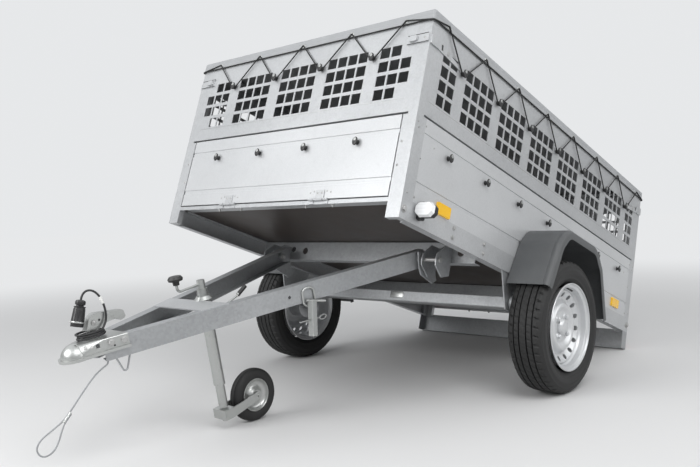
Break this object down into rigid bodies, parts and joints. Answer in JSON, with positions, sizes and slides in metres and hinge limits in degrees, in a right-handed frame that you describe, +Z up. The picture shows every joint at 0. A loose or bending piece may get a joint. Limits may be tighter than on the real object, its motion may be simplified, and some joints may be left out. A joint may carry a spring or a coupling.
{
  "type": "utility trailer",
  "caption": "Two-wheeled utility trailer with a tipping load bed, mesh upper walls, fabric cover, drop-down end gates and a jockey wheel on its V drawbar.",
  "frame": {"origin": "on the ground, at the centre of the bounding box as parked with the bed tipped", "axes": "+X towards the coupling, +Y to the trailer's left, +Z straight up; at rest the bed is tipped back and the drawbar slopes down to its jockey wheel"},
  "size_m": [3.162, 1.674, 1.4956],
  "materials": {
    "galvanised_steel": "galvanised",
    "spangled_panel": "galvanised sheet",
    "plated_steel": "zinc plated",
    "plywood_floor": "film-faced plywood",
    "grey_plastic": "moulded",
    "black_plastic": "moulded",
    "cover_fabric": "coated tarpaulin",
    "cover_cord": "elastic cord",
    "cable_sheath": "cable sheath",
    "coated_wire": "steel wire in clear sheath",
    "amber_lens": "lens",
    "red_lens": "lens",
    "white_lens": "lens",
    "tyre_rubber": "rubber",
    "jockey_rubber": "solid rubber",
    "silver_rim": "silver paint",
    "dark_steel": "black paint"
  },
  "bodies": {
    "bed": {"axle_brackets": "galvanised_steel", "axle_tube": "galvanised_steel", "base_corner_posts": "galvanised_steel", "base_side_walls": "spangled_panel", "cover_cord": "cover_cord", "end_sills": "galvanised_steel", "front_cross_member": "galvanised_steel", "gate_hinge_pins": "galvanised_steel", "hinge_bolts": "galvanised_steel", "hinge_brackets": "galvanised_steel", "lamp_board": "galvanised_steel", "load_cover": "cover_fabric", "load_floor": "plywood_floor", "marker_lamp_arms": "black_plastic", "marker_lenses": "white_lens", "mesh_corner_posts": "galvanised_steel", "mesh_front_wall": "galvanised_steel", "mesh_hooks": "black_plastic", "mesh_latches": "galvanised_steel", "mesh_rear_wall": "galvanised_steel", "mesh_side_walls": "galvanised_steel", "mudguards": "grey_plastic", "rear_cross_member": "galvanised_steel", "rear_lamps": "red_lens", "rear_reflectors": "red_lens", "side_hooks_low": "black_plastic", "side_reflectors": "amber_lens", "side_skirts": "galvanised_steel", "stub_axles": "galvanised_steel", "trailing_arms": "galvanised_steel"},
    "front_gate": {"front_gate": "spangled_panel", "front_gate_leaves": "galvanised_steel", "front_gate_hooks": "black_plastic"},
    "rear_gate": {"rear_gate": "spangled_panel", "rear_gate_leaves": "galvanised_steel", "rear_gate_hooks": "black_plastic", "rear_gate_latches": "galvanised_steel"},
    "wheel_left": {"tyre_left": "tyre_rubber", "rim_left": "silver_rim", "hub_left": "dark_steel"},
    "wheel_right": {"tyre_right": "tyre_rubber", "rim_right": "silver_rim", "hub_right": "dark_steel"},
    "drawbar": {"cable_coil": "cable_sheath", "coupling_body": "plated_steel", "coupling_handle": "plated_steel", "drawbar_beams": "galvanised_steel", "hinge_lugs": "galvanised_steel", "jockey_clamp": "plated_steel", "jockey_crank": "plated_steel", "jockey_crossplate": "galvanised_steel", "jockey_outer_tube": "plated_steel", "plug": "black_plastic", "plug_cable": "cable_sheath", "safety_cable": "coated_wire", "tilt_lock": "plated_steel"},
    "jockey_post": {"jockey_inner_tube": "plated_steel"},
    "jockey_fork": {"jockey_fork": "plated_steel"},
    "jockey_wheel": {"jockey_tyre": "jockey_rubber", "jockey_rim": "plated_steel"}
  },
  "joints": [
    {"name": "left_wheel_spin", "type": "hinge", "parent": "bed", "child": "wheel_left", "pos_m": [-0.24327, 0.75, 0.2735], "axis": [0, 1, 0], "continuous": true},
    {"name": "right_wheel_spin", "type": "hinge", "parent": "bed", "child": "wheel_right", "pos_m": [-0.24327, -0.75, 0.2735], "axis": [0, 1, 0], "continuous": true},
    {"name": "drawbar_close", "type": "hinge", "parent": "bed", "child": "drawbar", "pos_m": [0.21061, 0, 0.57999], "axis": [0, -1, 0], "range_deg": [0, 29.01]},
    {"name": "front_gate_drop", "type": "hinge", "parent": "bed", "child": "front_gate", "pos_m": [0.63476, 0, 0.83251], "axis": [0, 1, 0], "range_deg": [0, 84]},
    {"name": "rear_gate_drop", "type": "hinge", "parent": "bed", "child": "rear_gate", "pos_m": [-1.29465, 0, 0.15172], "axis": [0, -1, 0], "range_deg": [0, 95]},
    {"name": "jockey_height", "type": "slide", "parent": "drawbar", "child": "jockey_post", "axis": [0.1663, 0, 0.9861], "range_m": [-0.12, 0.06]},
    {"name": "jockey_swivel", "type": "hinge", "parent": "jockey_post", "child": "jockey_fork", "pos_m": [0.90651, 0, 0.07621], "axis": [0.1663, 0, 0.9861], "continuous": true},
    {"name": "jockey_wheel_spin", "type": "hinge", "parent": "jockey_fork", "child": "jockey_wheel", "pos_m": [0.7655, 0, 0.1], "axis": [0, 1, 0], "continuous": true}
  ]
}
